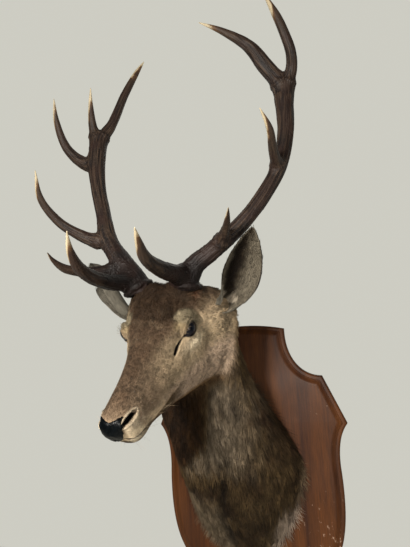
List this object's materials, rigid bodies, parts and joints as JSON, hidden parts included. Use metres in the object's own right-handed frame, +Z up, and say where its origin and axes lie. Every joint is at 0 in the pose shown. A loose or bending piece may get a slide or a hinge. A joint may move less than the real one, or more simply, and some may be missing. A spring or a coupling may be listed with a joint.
{
  "type": "red deer stag head mount",
  "caption": "Life-size head and neck of a red deer stag with branched antlers, on a shield-shaped wooden board that hangs on a wall.",
  "frame": {"origin": "middle of the board's back face, on its upright axis, where the mount meets the wall", "axes": "+Z up the wall, +Y into the wall, the stag looks out towards -Y, its left side is towards +X"},
  "size_m": [0.6184, 0.614, 1.3908],
  "materials": {
    "board_wood": "red-brown stain under worn varnish",
    "coat": "grey-brown winter coat",
    "nose_skin": "dark bare skin, slightly moist",
    "eye_glass": "polished dark glass eye",
    "antler_bone": "dark brown ridged antler with pale tips"
  },
  "bodies": {
    "root": {"shield_board": "board_wood", "neck": "coat", "head": "coat", "muzzle": "coat", "lower_jaw": "coat", "nose_pad": "nose_skin", "ear_left": "coat", "ear_right": "coat", "eye_left": "eye_glass", "eye_right": "eye_glass", "coronet_left": "antler_bone", "beam_lower_left": "antler_bone", "beam_middle_left": "antler_bone", "beam_upper_left": "antler_bone", "brow_tine_left": "antler_bone", "bez_tine_left": "antler_bone", "trez_tine_left": "antler_bone", "front_crown_tine_left": "antler_bone", "back_crown_tine_left": "antler_bone", "coronet_right": "antler_bone", "beam_lower_right": "antler_bone", "beam_middle_right": "antler_bone", "beam_upper_right": "antler_bone", "brow_tine_right": "antler_bone", "bez_tine_right": "antler_bone", "trez_tine_right": "antler_bone", "front_crown_tine_right": "antler_bone", "middle_crown_tine_right": "antler_bone", "back_crown_tine_right": "antler_bone", "crown_prong_right": "antler_bone"}
  },
  "joints": []
}
